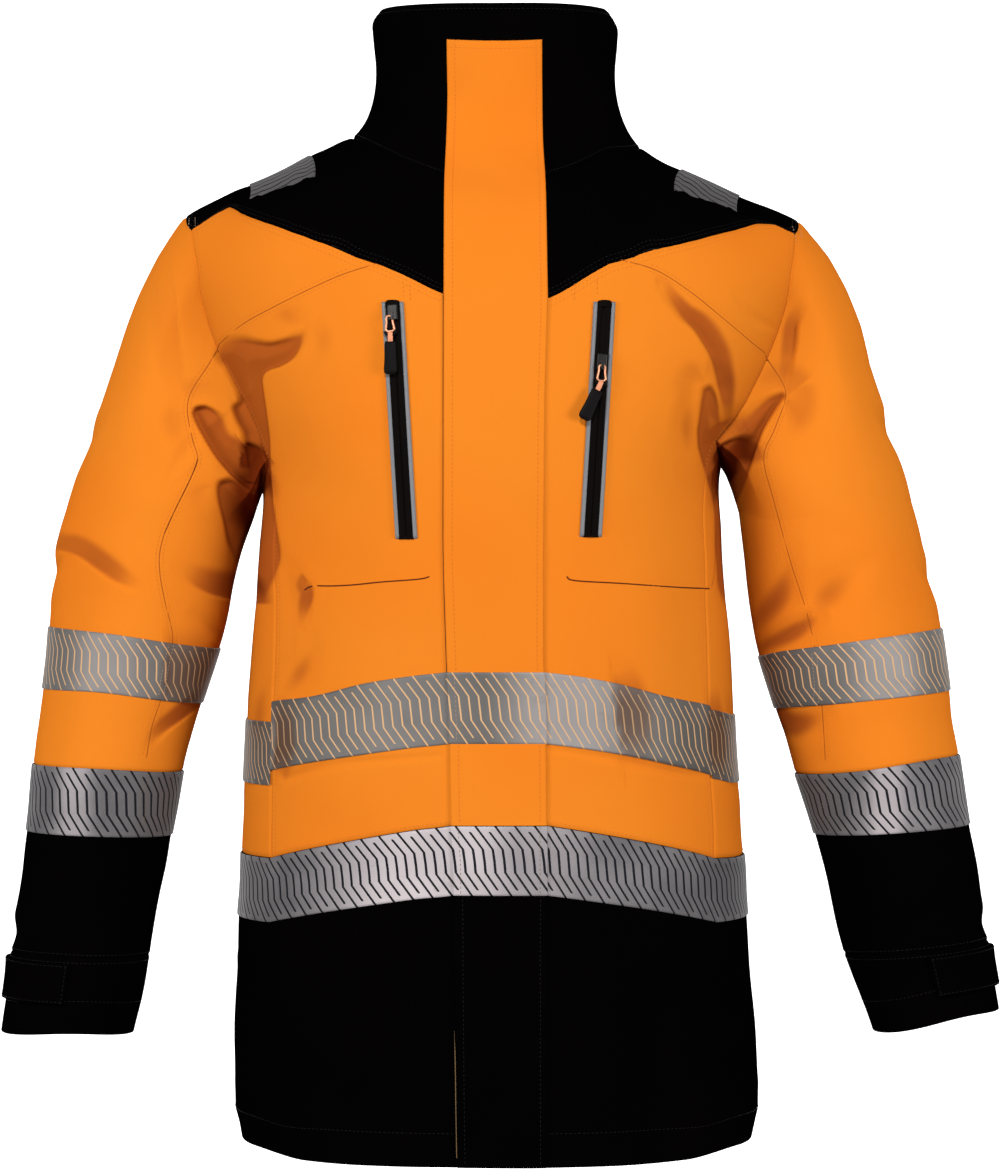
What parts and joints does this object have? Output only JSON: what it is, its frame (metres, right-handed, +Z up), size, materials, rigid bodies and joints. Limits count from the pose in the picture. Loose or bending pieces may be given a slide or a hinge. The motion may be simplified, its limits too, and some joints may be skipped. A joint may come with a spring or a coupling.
{
  "type": "hi-vis work jacket",
  "caption": "Long hi-vis work jacket with a stand collar, reflective tapes, a covered front zip, slanted chest zips and cuffs with tabs, filled out as if worn.",
  "frame": {"origin": "middle of the neck, at about the height of the collar's seam on the shoulders", "axes": "+Z up, the front faces -Y, the wearer's left is +X"},
  "size_m": [0.7772, 0.2932, 0.8736],
  "materials": {
    "orange_cloth": "matt coated woven",
    "black_cloth": "matt coated woven",
    "reflective_tape": "grey reflective cloth tape",
    "zip_tape": "coated zip tape",
    "slider_metal": "black coat, worn",
    "pull_metal": "copper colour",
    "pull_cord": "woven cord",
    "pull_rubber": "matt moulded"
  },
  "bodies": {
    "root": {"collar": "black_cloth", "yoke": "black_cloth", "back": "orange_cloth", "skirt_back": "black_cloth", "placket_upper": "orange_cloth", "placket_lower": "black_cloth", "waist_tape_placket": "reflective_tape", "hip_tape_placket": "reflective_tape", "waist_tape_back": "reflective_tape", "hip_tape_back": "reflective_tape", "front_right": "orange_cloth", "side_right": "orange_cloth", "skirt_front_right": "black_cloth", "waist_tape_front_right": "reflective_tape", "waist_tape_side_right": "reflective_tape", "hip_tape_front_right": "reflective_tape", "sleeve_right": "orange_cloth", "lower_sleeve_right": "black_cloth", "cuff_right": "black_cloth", "cuff_tab_right": "black_cloth", "sleeve_tape_1_right": "reflective_tape", "sleeve_tape_2_right": "reflective_tape", "shoulder_tape_right": "reflective_tape", "zip_strip_right": "zip_tape", "zip_piping_minus_right": "reflective_tape", "zip_piping_plus_right": "reflective_tape", "slider_right": "slider_metal", "front_left": "orange_cloth", "side_left": "orange_cloth", "skirt_front_left": "black_cloth", "waist_tape_front_left": "reflective_tape", "waist_tape_side_left": "reflective_tape", "hip_tape_front_left": "reflective_tape", "sleeve_left": "orange_cloth", "lower_sleeve_left": "black_cloth", "cuff_left": "black_cloth", "cuff_tab_left": "black_cloth", "sleeve_tape_1_left": "reflective_tape", "sleeve_tape_2_left": "reflective_tape", "shoulder_tape_left": "reflective_tape", "zip_strip_left": "zip_tape", "zip_piping_minus_left": "reflective_tape", "zip_piping_plus_left": "reflective_tape", "slider_left": "slider_metal"},
    "pull_right": {"pull_link_right": "pull_metal", "pull_neck_right": "pull_cord", "pull_tab_right": "pull_rubber"},
    "pull_left": {"pull_link_left": "pull_metal", "pull_neck_left": "pull_cord", "pull_tab_left": "pull_rubber"}
  },
  "joints": [
    {"name": "pull_hinge_right", "type": "hinge", "parent": "root", "child": "pull_right", "pos_m": [-0.07678, -0.13777, -0.13873], "axis": [-0.9886, 0.1293, -0.0776], "range_deg": [0, 150]},
    {"name": "pull_hinge_left", "type": "hinge", "parent": "root", "child": "pull_left", "pos_m": [0.07968, -0.14167, -0.17595], "axis": [-0.9822, -0.1721, 0.0749], "range_deg": [0, 150]}
  ]
}
